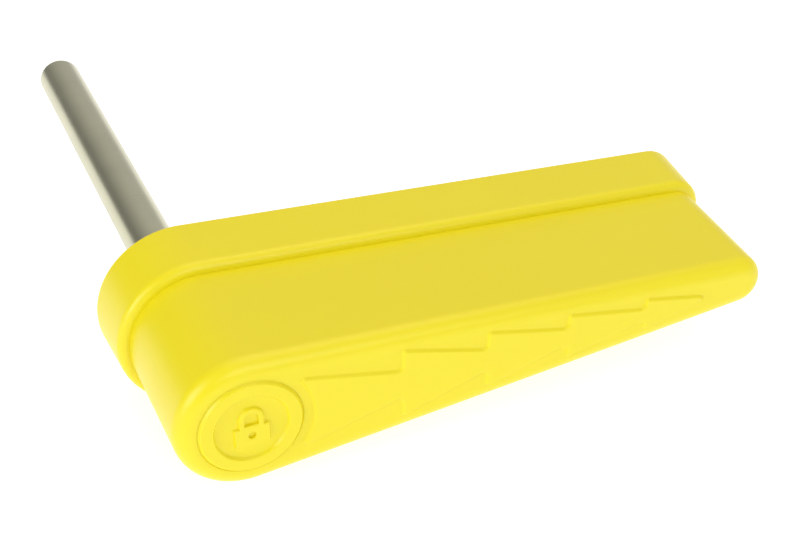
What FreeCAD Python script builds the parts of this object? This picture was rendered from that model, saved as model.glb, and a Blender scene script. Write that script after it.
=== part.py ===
"""Trailer coupler lock: a hollow steel pin on a two-shell, high-visibility lever body.

The round hub of the body holds a keyed pin-tumbler cylinder in line with the pin. Turning the
plug a quarter turn turns a rod inside the pin, and the crank on the rod's end pushes a locking
dog out of a window near the pin's tip. A push-in dust cap closes the keyway.

Every piece is drawn with its own z along the pin: z = 0 is the rear face that lies against the
coupler, z grows towards the front face, and the pin runs to negative z. The placement STAND then
turns z to the model's -Y and y to its +Z, so the pin points along +Y and the lever along +X.
"""
import FreeCAD, Part
import math
import os
import re

import Sketcher

doc = FreeCAD.newDocument("coupler_lock")

# ---------------------------------------------------------------- driving sizes, millimetres
SIZES = {
    # outline of the two shells
    "tip_span": 101.5,          # hub centre to tip centre at the rear face
    "tip_radius": 5.2,          # front cover's tip, at the ledge
    "flange_rake": 1.0,         # tip drawn in from the rear face to the ledge
    "cover_rake": 2.0,          # tip drawn in from the ledge to the front face
    "ledge_width": 2.0,         # rear cover stands out round the front cover
    "flange_draft": 0.6,
    "cover_draft": 0.2,
    "flange_depth": 13.5,       # rear face to ledge
    "rear_land": 1.2,           # straight wall above the rear face
    "front_fillet": 3.0,
    "ledge_fillet": 1.0,
    "rear_fillet": 0.6,
    "cover_wall": 2.2,
    "front_wall": 3.6,
    "floor_wall": 2.5,
    "mouth_gap": 0.1,           # front cover in the rear cover's mouth
    "lap": 0.5,                 # joined features and cutters run past one another
    "rib_thick": 1.6,
    # raised panel on the front face
    "relief_height": 0.5,
    "relief_margin": 3.4,       # panel's crests inside the cover's outline
    "relief_valley": 0.42,      # valley over crest, from the centre line
    "relief_end_gap": 6.0,      # point of the panel to the tip centre
    "relief_arc_gap": 1.6,      # channel between dust cap and panel
    # steel plate and pin
    "plate_thick": 3.0,
    "plate_gap": 0.3,
    "seal_thick": 1.0,
    "pin_radius": 4.7625,       # 3/8 in bar
    "pin_length": 101.5,        # rear face to pin tip
    "pin_chamfer": 0.8,
    "root_step": 0.45,          # thicker root inside the rear cover
    "head_rim": 2.2875,         # pin head over its root
    "head_thick": 3.0,
    "bore_radius": 2.3,
    "bush_wall": 1.0,
    "bush_length": 5.0,
    "fixed_gap": 0.02,          # pieces seated in one another
    "hole_gap": 0.1,            # clearance holes round fixed pieces
    "running_gap": 0.06,        # turning and sliding fits
    "dowel_radius": 0.6,
    "dowel_edge": 1.0,          # dowel axis inside the pin head's rim
    "dowel_length": 5.0,
    "dowel_inset": 0.2,
    "washer_width": 2.4,
    "washer_thick": 1.2,
    "washer_offset": 0.9,       # pin root to washer
    # locking dog near the pin tip
    "dog_travel": 1.6,
    "dog_width": 3.9,
    "dog_length": 8.0,
    "dog_finger": 0.75,
    "dog_gap": 0.1,
    "dog_recess": 0.3,          # dog below the pin's surface when drawn in
    "crank_radius": 0.6,
    "crank_length": 4.7,
    "chamber_radius": 3.15,
    "end_plug_length": 2.8,
    "end_plug_inset": 0.2,
    "dimple_depth": 0.8,
    "tip_to_window": 5.0,
    # lock cylinder
    "foot_radius": 10.4,
    "foot_gap": 0.5,
    "foot_thick": 4.0,
    "foot_reach": 17.0,
    "foot_half_width": 9.2,
    "barrel_radius": 8.2,
    "bible_half_width": 3.2,
    "tail_length": 7.5,
    "tail_radius": 6.6,
    "plug_radius": 4.47,
    "flange_step": 0.95,        # plug's front flange over the plug
    "flange_thick": 1.45,
    "tumbler_radius": 1.25,
    "tumbler_pitch": 2.8,
    "first_tumbler": 2.5,
    "stop_pin_radius": 0.8,
    "stop_offset": 2.3,
    "flange_offset": 2.9,
    "groove_depth": 0.65,
    "driver_length": 4.0,
    "spring_wire": 0.18,
    "spring_gap": 0.1,
    "spring_cover_thick": 1.0,
    "spring_dimple": 0.3,
    "strip_margin": 0.5,        # spring cover past the spring holes
    "keyway_width": 1.9,
    "keyway_half_height": 3.5,
    "keyway_end": 0.31,         # keyway past the innermost tumbler hole
    "clip_thick": 0.8,
    "clip_radius": 5.9,
    "clip_depth": 1.15,
    "collar_radius": 3.6,
    "collar_thick": 1.2,
    "tang_width": 1.3,
    "tang_half_length": 3.1,
    "tang_height": 4.1,
    "tail_end_gap": 1.6,        # rod collar to plug end
    "top_gap": 0.8,             # cylinder to front wall
    # dust cap
    "cap_radius": 9.25,
    "cap_rise": 0.5,            # cap's ring over the front face
    "cap_seat": 1.7,
    "cap_gap": 0.12,
    "cap_disc_radius": 6.8,
    "cap_disc_depth": 0.6,
    # padlock sign on the cap's disc
    "emblem_height": 0.35,
    "emblem_half_width": 3.3,
    "emblem_foot": 3.6,
    "emblem_shoulder": 0.4,
    "emblem_eye_radius": 0.8,
    "emblem_eye_drop": 1.6,
    "bow_radius": 2.35,
    "bow_width": 1.0,
    "bow_rise": 1.9,
    "spigot_radius": 6.95,
    "spigot_wall": 1.5,
    "spigot_length": 2.3,
    "ring_wire": 0.45,
    # screws
    "screw_radius": 1.5,
    "screw_head_radius": 2.9,
    "screw_head_height": 1.5,
    "screw_length": 13.8,
    "screw_key_depth": 1.0,
    "insert_wall": 0.55,
    "insert_length": 6.0,
    "boss_wall": 0.7,
    "boss_hub_x": 22.0,
    "boss_hub_y": 6.2,
    "boss_tip_inset": 7.5,
    "foot_screw_x": 13.0,
    "foot_screw_y": 6.8,
    "foot_screw_radius": 1.2,
    "foot_screw_head": 2.2,
    "foot_screw_head_height": 1.5,
}

TUMBLERS = 5
SPRING_TURNS = 6
KEY_CUTS = (0.9, 1.6, 0.5, 1.9, 1.1)    # key pin tips from the plug's axis
TEETH = 4                               # steps along each edge of the raised panel

# ---------------------------------------------------------------- sizes that follow the others
DERIVED = {
    # heights above the rear face
    "plate_top": "floor_wall + plate_thick",
    "rim_low": "plate_top + seal_thick",
    "head_top": "plate_top + head_thick",
    "foot_top": "plate_top + foot_thick",
    "tail_low": "head_top + hole_gap",
    "tail_top": "head_top + tail_length",
    "tumbler_low": "tail_top + first_tumbler",
    "tumbler_high": "tumbler_low + %d * tumbler_pitch" % (TUMBLERS - 1),
    "stop_level": "tumbler_high + stop_offset",
    "flange_low": "stop_level + flange_offset",
    "flange_high": "flange_low + flange_thick",
    "housing_top": "flange_high + hole_gap * 2",
    "front_inner": "housing_top + top_gap",
    "body_depth": "front_inner + front_wall",
    "cap_low": "body_depth - cap_seat + cap_gap",
    "cap_top": "body_depth + cap_rise",
    "dish_floor": "cap_top - cap_disc_depth",
    "collar_low": "head_top + hole_gap",
    "collar_top": "collar_low + collar_thick",
    "plug_low": "collar_top + tail_end_gap",
    "clip_low": "tail_top - clip_thick - hole_gap * 2",
    # outline
    "hub_radius": "foot_radius + foot_gap + cover_wall",
    "ledge_span": "tip_span - flange_rake",
    "front_span": "ledge_span - cover_rake",
    "side_slope": "(hub_radius - tip_radius) / ledge_span",
    "boss_tip_x": "ledge_span - boss_tip_inset",
    "boss_mid_x": "(boss_hub_x + boss_tip_x) / 2",
    "boss_radius": "screw_radius + insert_wall + boss_wall",
    "insert_radius": "screw_radius + insert_wall",
    # pin
    "root_radius": "pin_radius + root_step",
    "head_radius": "root_radius + head_rim",
    "bush_radius": "bore_radius + bush_wall",
    "dowel_x": "head_radius - dowel_edge",
    "washer_inner": "root_radius + washer_offset",
    "washer_outer": "washer_inner + washer_width",
    "rod_radius": "bore_radius - running_gap",
    "window_low": "tip_to_window - pin_length",
    "window_high": "window_low + dog_length + 2 * dog_gap",
    "chamber_top": "window_high + 3 * dog_gap",
    "rod_low": "chamber_top + 2 * dog_gap",
    "crank_low": "rod_low - crank_length",
    "slot_half": "crank_radius + dog_gap",
    # cylinder
    "plug_bore": "plug_radius + running_gap",
    "flange_radius": "plug_radius + flange_step",
    "tumbler_bore": "tumbler_radius + running_gap",
    "driver_low": "plug_bore + fixed_gap",
    "driver_high": "driver_low + driver_length",
    "spring_cover_low": "foot_reach - spring_cover_thick",
    "strip_half_width": "tumbler_bore + strip_margin",
    "strip_low": "tumbler_low - strip_half_width",
    "strip_high": "tumbler_high + strip_half_width",
    "cap_hole": "spigot_radius + hole_gap",
}

sheet = doc.addObject("Spreadsheet::Sheet", "sizes")
for row, (alias, number) in enumerate(SIZES.items(), start=1):
    sheet.set("A%d" % row, alias)
    sheet.set("B%d" % row, str(number))
    sheet.setAlias("B%d" % row, alias)
doc.recompute()

LEVEL_TOLERANCE = 1e-4      # how near to a level an edge counts as lying at it
STAND = FreeCAD.Placement(FreeCAD.Vector(0, 0, 0), FreeCAD.Rotation(FreeCAD.Vector(1, 0, 0), 90))
pieces = []


# ---------------------------------------------------------------- expressions
def expand(text):
    """Write a size expression with the sheet's cells in place of the plain names."""
    def cell(match):
        word = match.group()
        if word in DERIVED:
            return "(" + expand(DERIVED[word]) + ")"
        if word in SIZES:
            return "sizes." + word
        return word
    return re.sub(r"[a-z_]+", cell, str(text))


def value(text):
    return float(sheet.evalExpression(expand(text)))


def bind(thing, name, text):
    thing.setExpression(name, expand(text))


# ---------------------------------------------------------------- primitives and booleans
def cylinder(name, radius, low, high, x="0", y="0"):
    """A round bar along z from low to high."""
    bar = doc.addObject("Part::Cylinder", name)
    bind(bar, "Radius", radius)
    bind(bar, "Height", "(%s) - (%s)" % (high, low))
    bind(bar, "Placement.Base.x", x)
    bind(bar, "Placement.Base.y", y)
    bind(bar, "Placement.Base.z", low)
    return bar


def cross_bar(name, radius, low, high, level, turn=0):
    """A round bar square to z, from low to high out from the axis, at a height."""
    bar = doc.addObject("Part::Cylinder", name)
    bind(bar, "Radius", radius)
    bind(bar, "Height", "(%s) - (%s)" % (high, low))
    out = FreeCAD.Rotation(FreeCAD.Vector(0, 0, 1), turn)
    bar.Placement = FreeCAD.Placement(
        FreeCAD.Vector(0, 0, 0), out.multiply(FreeCAD.Rotation(FreeCAD.Vector(0, 1, 0), 90)))
    bind(bar, "Placement.Base.x", "(%s) * cos(%d deg)" % (low, turn))
    bind(bar, "Placement.Base.y", "(%s) * sin(%d deg)" % (low, turn))
    bind(bar, "Placement.Base.z", level)
    return bar


def cone(name, low_radius, high_radius, low, high, x="0", y="0"):
    shape = doc.addObject("Part::Cone", name)
    bind(shape, "Radius1", low_radius)
    bind(shape, "Radius2", high_radius)
    bind(shape, "Height", "(%s) - (%s)" % (high, low))
    bind(shape, "Placement.Base.x", x)
    bind(shape, "Placement.Base.y", y)
    bind(shape, "Placement.Base.z", low)
    return shape


def box(name, x_range, y_range, z_range):
    shape = doc.addObject("Part::Box", name)
    for side, axis, (low, high) in zip(("Length", "Width", "Height"), "xyz",
                                       (x_range, y_range, z_range)):
        bind(shape, side, "(%s) - (%s)" % (high, low))
        bind(shape, "Placement.Base." + axis, low)
    return shape


def hex_bar(name, radius, low, high, x="0", y="0"):
    shape = doc.addObject("Part::Prism", name)
    shape.Polygon = 6
    bind(shape, "Circumradius", radius)
    bind(shape, "Height", "(%s) - (%s)" % (high, low))
    bind(shape, "Placement.Base.x", x)
    bind(shape, "Placement.Base.y", y)
    bind(shape, "Placement.Base.z", low)
    return shape


def fuse(name, *shapes):
    if len(shapes) == 1:
        return shapes[0]
    whole = doc.addObject("Part::MultiFuse", name)
    whole.Shapes = list(shapes)
    return whole


def cut(name, base, *tools):
    whole = doc.addObject("Part::Cut", name)
    whole.Base = base
    whole.Tool = fuse(name + "_tools", *tools)
    return whole


def common(name, first, second):
    whole = doc.addObject("Part::Common", name)
    whole.Base = first
    whole.Tool = second
    return whole


def group(name, shapes):
    """Like pieces that share one node, as separate solids."""
    whole = doc.addObject("Part::Compound", name)
    whole.Links = list(shapes)
    return whole


def keep(piece, label):
    """Name a finished piece and stand it up in the model's frame."""
    piece.Label = label
    piece.Placement = STAND
    pieces.append(piece)


# ---------------------------------------------------------------- sketches and features
def new_body(label):
    body = doc.addObject("PartDesign::Body", label)
    body.Label = label
    return body


def sketch_at(body, name, level, plane="XY_Plane"):
    """A sketch on one of the body's own planes, raised to a level along its normal."""
    sketch = body.newObject("Sketcher::SketchObject", name)
    origin = next(part for part in body.Origin.OriginFeatures if part.Role == plane)
    sketch.AttachmentSupport = [(origin, "")]
    sketch.MapMode = "FlatFace"
    bind(sketch, "AttachmentOffset.Base.z", level)
    return sketch


def name_size(sketch, index, name, text):
    sketch.renameConstraint(index, name)
    bind(sketch, "Constraints." + name, text)


def add_circle(sketch, name, radius, x="0", y="0"):
    """A circle whose centre and radius are held by named constraints."""
    spot = FreeCAD.Vector(value(x), value(y), 0)
    edge = sketch.addGeometry(Part.Circle(spot, FreeCAD.Vector(0, 0, 1), value(radius)))
    name_size(sketch, sketch.addConstraint(Sketcher.Constraint("Radius", edge, value(radius))),
              name + "_radius", radius)
    for axis, kind, place in (("x", "DistanceX", x), ("y", "DistanceY", y)):
        if place == "0":
            other = -2 if axis == "x" else -1
            sketch.addConstraint(Sketcher.Constraint("PointOnObject", edge, 3, other))
        else:
            index = sketch.addConstraint(
                Sketcher.Constraint(kind, -1, 1, edge, 3, value(place)))
            name_size(sketch, index, name + "_" + axis, place)
    return edge


def add_teardrop(sketch, name, span, hub):
    """A round hub at the origin and a round tip on the x axis, joined by tangent sides.

    Every outline has the same side slope, so its tip follows from its hub and span.
    """
    tip = "(%s) - side_slope * (%s)" % (hub, span)
    reach, big, small = value(span), value(hub), value(tip)
    turn = math.acos((big - small) / reach)
    up = FreeCAD.Vector(math.cos(turn), math.sin(turn), 0)
    down = FreeCAD.Vector(up.x, -up.y, 0)
    end = FreeCAD.Vector(reach, 0, 0)
    axis = FreeCAD.Vector(0, 0, 1)
    hub_arc = sketch.addGeometry(Part.ArcOfCircle(
        Part.Circle(FreeCAD.Vector(0, 0, 0), axis, big), turn, 2 * math.pi - turn))
    tip_arc = sketch.addGeometry(Part.ArcOfCircle(Part.Circle(end, axis, small), -turn, turn))
    top = sketch.addGeometry(Part.LineSegment(up * big, end + up * small))
    base = sketch.addGeometry(Part.LineSegment(end + down * small, down * big))
    sketch.addConstraint([
        Sketcher.Constraint("Coincident", hub_arc, 3, -1, 1),
        Sketcher.Constraint("PointOnObject", tip_arc, 3, -1),
        Sketcher.Constraint("Tangent", hub_arc, 1, top, 1),
        Sketcher.Constraint("Tangent", top, 2, tip_arc, 2),
        Sketcher.Constraint("Tangent", tip_arc, 1, base, 1),
        Sketcher.Constraint("Tangent", base, 2, hub_arc, 2)])
    for kind, edge, size, label in (("Radius", hub_arc, hub, "_hub"), ("Radius", tip_arc, tip, "_tip")):
        index = sketch.addConstraint(Sketcher.Constraint(kind, edge, value(size)))
        name_size(sketch, index, name + label, size)
    index = sketch.addConstraint(Sketcher.Constraint("DistanceX", -1, 1, tip_arc, 3, reach))
    name_size(sketch, index, name + "_span", span)


def teardrop_at(body, name, level, span, hub):
    sketch = sketch_at(body, name, level)
    add_teardrop(sketch, "outline", span, hub)
    return sketch


def add_polygon(sketch, name, corners):
    """A closed outline whose corners are held by named distances from the origin."""
    spots = [FreeCAD.Vector(value(x), value(y), 0) for x, y in corners]
    edges = [sketch.addGeometry(Part.LineSegment(spot, spots[(i + 1) % len(spots)]))
             for i, spot in enumerate(spots)]
    for i, edge in enumerate(edges):
        after = edges[(i + 1) % len(edges)]
        sketch.addConstraint(Sketcher.Constraint("Coincident", edge, 2, after, 1))
    for i, (edge, corner) in enumerate(zip(edges, corners)):
        for kind, place in zip(("DistanceX", "DistanceY"), corner):
            if place == "0":
                other = -2 if kind == "DistanceX" else -1
                sketch.addConstraint(Sketcher.Constraint("PointOnObject", edge, 1, other))
            else:
                index = sketch.addConstraint(
                    Sketcher.Constraint(kind, -1, 1, edge, 1, value(place)))
                name_size(sketch, index, "%s_%d%s" % (name, i, kind[-1].lower()), place)


def pad(body, name, sketch, length):
    feature = body.newObject("PartDesign::Pad", name)
    feature.Profile = sketch
    bind(feature, "Length", length)
    return feature


def pocket(body, name, sketch, length, reverse=False):
    """Cut from the sketch's level down, or up when reversed."""
    feature = body.newObject("PartDesign::Pocket", name)
    feature.Profile = sketch
    feature.Reversed = reverse
    bind(feature, "Length", length)
    return feature


def loft(body, name, kind, lower, upper):
    feature = body.newObject("PartDesign::" + kind, name)
    feature.Profile = lower
    feature.Sections = [upper]
    feature.Ruled = True
    return feature


def fillet_level(body, name, base, level, radius):
    """Round every edge that lies at one height."""
    doc.recompute()
    height = value(level)
    edges = ["Edge%d" % (i + 1) for i, edge in enumerate(base.Shape.Edges)
             if all(abs(point.z - height) < LEVEL_TOLERANCE
                    for point in (edge.valueAt(edge.FirstParameter), edge.valueAt(edge.LastParameter),
                                  edge.valueAt((edge.FirstParameter + edge.LastParameter) / 2)))]
    feature = body.newObject("PartDesign::Fillet", name)
    feature.Base = (base, edges)
    bind(feature, "Radius", radius)
    doc.recompute()
    return feature


SCREWS = (("boss_hub_x", "boss_hub_y"), ("boss_hub_x", "-boss_hub_y"),
          ("boss_mid_x", "0"), ("boss_tip_x", "0"))
FOOT_SCREWS = (("foot_screw_x", "foot_screw_y"), ("foot_screw_x", "-foot_screw_y"))


# ---------------------------------------------------------------- moulded shells
def relief_corners():
    """Raised panel: even steps down to a point, the same above and below the centre line."""
    start = "(cap_radius + relief_arc_gap)"
    pitch = "((front_span - relief_end_gap - %s) / %d)" % (start, TEETH + 1)

    def crest(place):
        return "(hub_radius - relief_margin - side_slope * (%s))" % place

    upper = [("cap_radius / 2", crest("cap_radius / 2"))]
    for tooth in range(1, TEETH + 1):
        place = "(%s + %d * %s)" % (start, tooth, pitch)
        upper += [(place, "relief_valley * " + crest(place)), (place, crest(place))]
    point = ("front_span - relief_end_gap", "0")
    lower = [(x, "-(%s)" % y) for x, y in reversed(upper)]
    return upper + [point] + lower


def front_cover():
    body = new_body("front_cover")
    rim = teardrop_at(body, "cover_rim", "rim_low", "ledge_span", "hub_radius")
    pad(body, "cover_skirt", rim, "flange_depth - rim_low")
    low = teardrop_at(body, "cover_low", "flange_depth", "ledge_span", "hub_radius")
    high = teardrop_at(body, "cover_high", "body_depth", "front_span", "hub_radius - cover_draft")
    shell = loft(body, "cover_shell", "AdditiveLoft", low, high)
    fillet_level(body, "cover_edge", shell, "body_depth", "front_fillet")

    cavity_rim = teardrop_at(body, "cavity_rim", "flange_depth", "ledge_span",
                             "hub_radius - cover_wall")
    pocket(body, "skirt_cavity", cavity_rim, "flange_depth - rim_low")
    cavity_low = teardrop_at(body, "cavity_low", "flange_depth", "ledge_span",
                             "hub_radius - cover_wall")
    cavity_high = teardrop_at(body, "cavity_high", "front_inner", "front_span",
                              "hub_radius - cover_draft - cover_wall")
    loft(body, "cover_cavity", "SubtractiveLoft", cavity_low, cavity_high)

    columns = sketch_at(body, "boss_circles", "rim_low")
    for i, (x, y) in enumerate(SCREWS):
        add_circle(columns, "boss_%d" % i, "boss_radius", x, y)
    pad(body, "bosses", columns, "front_inner - rim_low + lap")
    web = sketch_at(body, "rib_outline", "flange_depth")
    add_polygon(web, "rib", (("boss_mid_x", "-rib_thick / 2"), ("boss_tip_x", "-rib_thick / 2"),
                             ("boss_tip_x", "rib_thick / 2"), ("boss_mid_x", "rib_thick / 2")))
    pad(body, "rib", web, "front_inner - flange_depth + lap")

    panel = sketch_at(body, "relief_outline", "body_depth - lap")
    add_polygon(panel, "step", relief_corners())
    pad(body, "relief", panel, "relief_height + lap")
    channel = sketch_at(body, "channel_circle", "body_depth")
    add_circle(channel, "channel", "cap_radius + relief_arc_gap")
    pocket(body, "channel", channel, "relief_height + lap", reverse=True)

    seat = sketch_at(body, "cap_seat_circle", "body_depth - cap_seat")
    add_circle(seat, "seat", "cap_radius + cap_gap")
    pocket(body, "cap_seat_cut", seat, "cap_seat + lap", reverse=True)
    mouth = sketch_at(body, "cap_hole_circle", "front_inner - lap")
    add_circle(mouth, "mouth", "cap_hole")
    pocket(body, "cap_hole_cut", mouth, "front_wall + lap", reverse=True)

    seats = sketch_at(body, "insert_circles", "rim_low")
    for i, (x, y) in enumerate(SCREWS):
        add_circle(seats, "insert_%d" % i, "insert_radius + fixed_gap", x, y)
    pocket(body, "insert_seats", seats, "insert_length + fixed_gap", reverse=True)
    ends = sketch_at(body, "screw_end_circles", "rim_low")
    for i, (x, y) in enumerate(SCREWS):
        add_circle(ends, "end_%d" % i, "screw_radius + hole_gap", x, y)
    pocket(body, "screw_ends", ends, "screw_length", reverse=True)
    keep(body, "front_cover")


def rear_cover():
    body = new_body("rear_shell")
    rear_hub = "hub_radius + ledge_width + flange_draft"
    land = teardrop_at(body, "rear_outline", "0", "tip_span", rear_hub)
    pad(body, "rear_land", land, "rear_land")
    low = teardrop_at(body, "flange_low", "rear_land", "tip_span", rear_hub)
    high = teardrop_at(body, "flange_ledge", "flange_depth", "ledge_span", "hub_radius + ledge_width")
    shell = loft(body, "flange_shell", "AdditiveLoft", low, high)
    rounded = fillet_level(body, "ledge_edge", shell, "flange_depth", "ledge_fillet")
    fillet_level(body, "rear_edge", rounded, "0", "rear_fillet")
    mouth = teardrop_at(body, "mouth_outline", "flange_depth", "ledge_span", "hub_radius + mouth_gap")
    pocket(body, "mouth", mouth, "flange_depth - floor_wall")
    pin_hole = sketch_at(body, "pin_hole_circle", "floor_wall")
    add_circle(pin_hole, "pin", "root_radius + hole_gap")
    for i, (x, y) in enumerate(SCREWS):
        add_circle(pin_hole, "screw_%d" % i, "screw_radius + hole_gap * 2", x, y)
    pocket(body, "floor_holes", pin_hole, "floor_wall")
    groove = sketch_at(body, "washer_circles", "washer_thick")
    add_circle(groove, "outer", "washer_outer + hole_gap")
    add_circle(groove, "inner", "washer_inner - hole_gap")
    pocket(body, "washer_groove", groove, "washer_thick")
    sinks = [cone("rear_sink_%d" % i, "screw_head_radius + hole_gap * 2", "screw_radius + hole_gap * 2",
                  "0", "screw_head_height + hole_gap", x, y) for i, (x, y) in enumerate(SCREWS)]
    keep(cut("rear_cover_cut", body, *sinks), "rear_cover")


def backbone_plate():
    body = new_body("backbone_plate")
    outline = teardrop_at(body, "plate_outline", "floor_wall", "ledge_span",
                          "hub_radius + mouth_gap - plate_gap")
    pad(body, "plate", outline, "plate_thick")
    holes = sketch_at(body, "plate_holes", "plate_top")
    add_circle(holes, "pin", "root_radius + fixed_gap")
    add_circle(holes, "dowel", "dowel_radius + fixed_gap", "dowel_x", "0")
    for i, (x, y) in enumerate(SCREWS):
        add_circle(holes, "screw_%d" % i, "screw_radius + hole_gap * 2", x, y)
    for i, (x, y) in enumerate(FOOT_SCREWS):
        add_circle(holes, "foot_screw_%d" % i, "foot_screw_radius + fixed_gap", x, y)
    pocket(body, "plate_drilling", holes, "plate_thick")
    keep(body, "backbone_plate")


def cover_seal():
    body = new_body("cover_seal")
    outline = teardrop_at(body, "seal_outline", "plate_top", "ledge_span", "hub_radius - hole_gap")
    pad(body, "seal", outline, "seal_thick")
    hollow = teardrop_at(body, "seal_hollow", "rim_low", "ledge_span", "hub_radius - cover_wall")
    pocket(body, "seal_opening", hollow, "seal_thick")
    keep(body, "cover_seal")


# ---------------------------------------------------------------- pin, rod and dog
def lock_pin():
    shank = cylinder("pin_shank", "pin_radius", "pin_chamfer - pin_length", "0")
    nose = cone("pin_nose", "pin_radius - pin_chamfer", "pin_radius", "-pin_length",
                "pin_chamfer - pin_length")
    root = cylinder("pin_root", "root_radius", "0", "plate_top")
    head = cylinder("pin_head", "head_radius", "plate_top", "head_top")
    solid = fuse("pin_solid", shank, nose, root, head)
    bore = cylinder("pin_bore", "bore_radius", "-pin_length", "head_top")
    bush_seat = cylinder("pin_bush_seat", "bush_radius", "head_top - bush_length", "head_top")
    chamber = cylinder("pin_chamber", "chamber_radius", "-pin_length", "chamber_top")
    window = box("pin_window", ("-dog_width / 2 - dog_gap", "dog_width / 2 + dog_gap"),
                 ("-pin_radius - lap", "0"), ("window_low", "window_high"))
    dowel = cylinder("pin_dowel_hole", "dowel_radius + fixed_gap", "plate_top", "head_top", "dowel_x")
    keep(cut("pin_cut", solid, bore, bush_seat, chamber, window, dowel), "lock_pin")

    sleeve = cylinder("bush_sleeve", "bush_radius - fixed_gap", "head_top - bush_length", "head_top")
    hole = cylinder("bush_hole", "bore_radius", "head_top - bush_length", "head_top")
    keep(cut("bush_cut", sleeve, hole), "rod_bush")

    button = cylinder("end_button", "chamber_radius - fixed_gap", "end_plug_inset - pin_length",
                      "end_plug_length - pin_length")
    dimple = cone("end_dimple", "chamber_radius / 2", "chamber_radius / 4", "end_plug_inset - pin_length",
                  "end_plug_inset + dimple_depth - pin_length")
    keep(cut("end_plug_cut", button, dimple), "pin_end_plug")

    peg = cylinder("dowel_peg", "dowel_radius", "head_top - dowel_length", "head_top - dowel_inset",
                   "dowel_x")
    nick = cone("dowel_nick", "dowel_radius / 4", "dowel_radius / 2", "head_top - 2 * dowel_inset",
                "head_top - dowel_inset", "dowel_x")
    keep(cut("dowel_cut", peg, nick), "pin_dowel")


def seat_washer():
    ring = cylinder("washer_ring", "washer_outer", "0", "washer_thick")
    hole = cylinder("washer_hole", "washer_inner", "0", "washer_thick")
    keep(cut("washer_cut", ring, hole), "seat_washer")


def drive_rod():
    """Rod through the pin: a tang for the plug, a collar on the bush and a crank for the dog."""
    bar = cylinder("rod_bar", "rod_radius", "rod_low", "collar_low")
    collar = cylinder("rod_collar", "collar_radius", "collar_low", "collar_top")
    tang = box("rod_tang", ("-tang_half_length", "tang_half_length"),
               ("-tang_width / 2", "tang_width / 2"), ("collar_top", "collar_top + tang_height"))
    crank = cylinder("rod_crank", "crank_radius", "crank_low", "rod_low",
                     "dog_travel / 2", "dog_travel / 2")
    keep(fuse("rod_whole", bar, collar, tang, crank), "drive_rod")


def locking_dog():
    """Dog across the pin's chamber; the crank turns in its open slot and slides it out."""
    top = "(dog_travel / 2 + slot_half + dog_finger)"
    block = box("dog_block", ("-dog_width / 2", "dog_width / 2"), ("-pin_radius", top),
                ("window_low + dog_gap", "window_high - dog_gap"))
    flush = cylinder("dog_flush", "pin_radius - dog_recess", "window_low", "window_high")
    slot = box("dog_slot", ("-dog_gap * 2", "dog_width"),
               ("dog_travel / 2 - slot_half", "dog_travel / 2 + slot_half"),
               ("crank_low - 3 * dog_gap", "window_high"))
    keep(cut("dog_cut", common("dog_rounded", block, flush), slot), "locking_dog")


# ---------------------------------------------------------------- lock cylinder
def tumbler_levels():
    return ["tumbler_low + %d * tumbler_pitch" % i for i in range(TUMBLERS)]


def cylinder_housing():
    foot = cylinder("foot_round", "foot_radius", "plate_top", "foot_top")
    shoe = box("foot_shoe", ("0", "foot_reach"), ("-foot_half_width", "foot_half_width"),
               ("plate_top", "foot_top"))
    barrel = cylinder("barrel", "barrel_radius", "plate_top", "housing_top")
    bible = box("bible", ("0", "foot_reach"), ("-bible_half_width", "bible_half_width"),
                ("plate_top", "stop_level"))
    solid = fuse("housing_solid", foot, shoe, barrel, bible)
    tools = [
        cylinder("head_pocket", "head_radius + hole_gap", "plate_top", "tail_low"),
        cylinder("tail_pocket", "tail_radius", "tail_low", "tail_top"),
        cylinder("plug_hole", "plug_bore", "tail_top", "housing_top"),
        cylinder("flange_pocket", "flange_radius + hole_gap", "flange_low", "housing_top"),
        cross_bar("stop_hole", "stop_pin_radius + fixed_gap", "plug_radius - lap", "barrel_radius",
                  "stop_level", -90),
        box("spring_cover_slot", ("spring_cover_low", "foot_reach"),
            ("-strip_half_width - hole_gap", "strip_half_width + hole_gap"),
            ("strip_low - hole_gap", "strip_high + hole_gap")),
    ]
    tools += [cross_bar("driver_hole_%d" % i, "tumbler_bore", "plug_radius - lap", "foot_reach", level)
              for i, level in enumerate(tumbler_levels())]
    tools += [cylinder("foot_hole_%d" % i, "foot_screw_radius + hole_gap", "plate_top", "foot_top", x, y)
              for i, (x, y) in enumerate(FOOT_SCREWS)]
    keep(cut("housing_cut", solid, *tools), "cylinder_housing")


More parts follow.
